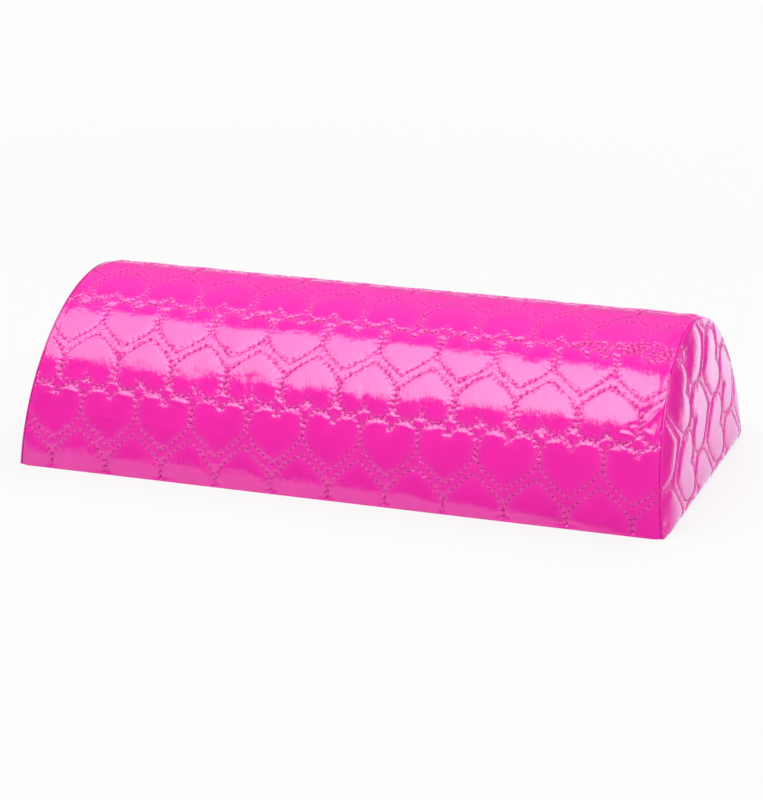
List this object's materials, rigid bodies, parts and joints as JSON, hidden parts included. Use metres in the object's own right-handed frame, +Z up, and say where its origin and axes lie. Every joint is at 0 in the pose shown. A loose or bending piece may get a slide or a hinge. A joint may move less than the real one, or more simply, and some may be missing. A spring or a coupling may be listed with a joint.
{
  "type": "manicure hand rest",
  "caption": "Half-round cushion for resting a hand or wrist, in a glossy cover quilted with hearts, with flat ends and a flat base.",
  "frame": {"origin": "middle of the flat base, on the surface that the cushion stands on", "axes": "+X along the cushion's length, +Z up, -Y the front"},
  "size_m": [0.305, 0.15, 0.075],
  "materials": {
    "glossy_cover_cloth": "gloss coated cloth",
    "glossy_end_cloth": "gloss coated cloth",
    "plain_base_cloth": "plain coated cloth",
    "foam": "open-cell foam"
  },
  "bodies": {
    "root": {"quilted_cover": "glossy_cover_cloth", "end_panel_left": "glossy_end_cloth", "end_panel_right": "glossy_end_cloth", "base_panel": "plain_base_cloth", "foam_core": "foam"}
  },
  "joints": []
}
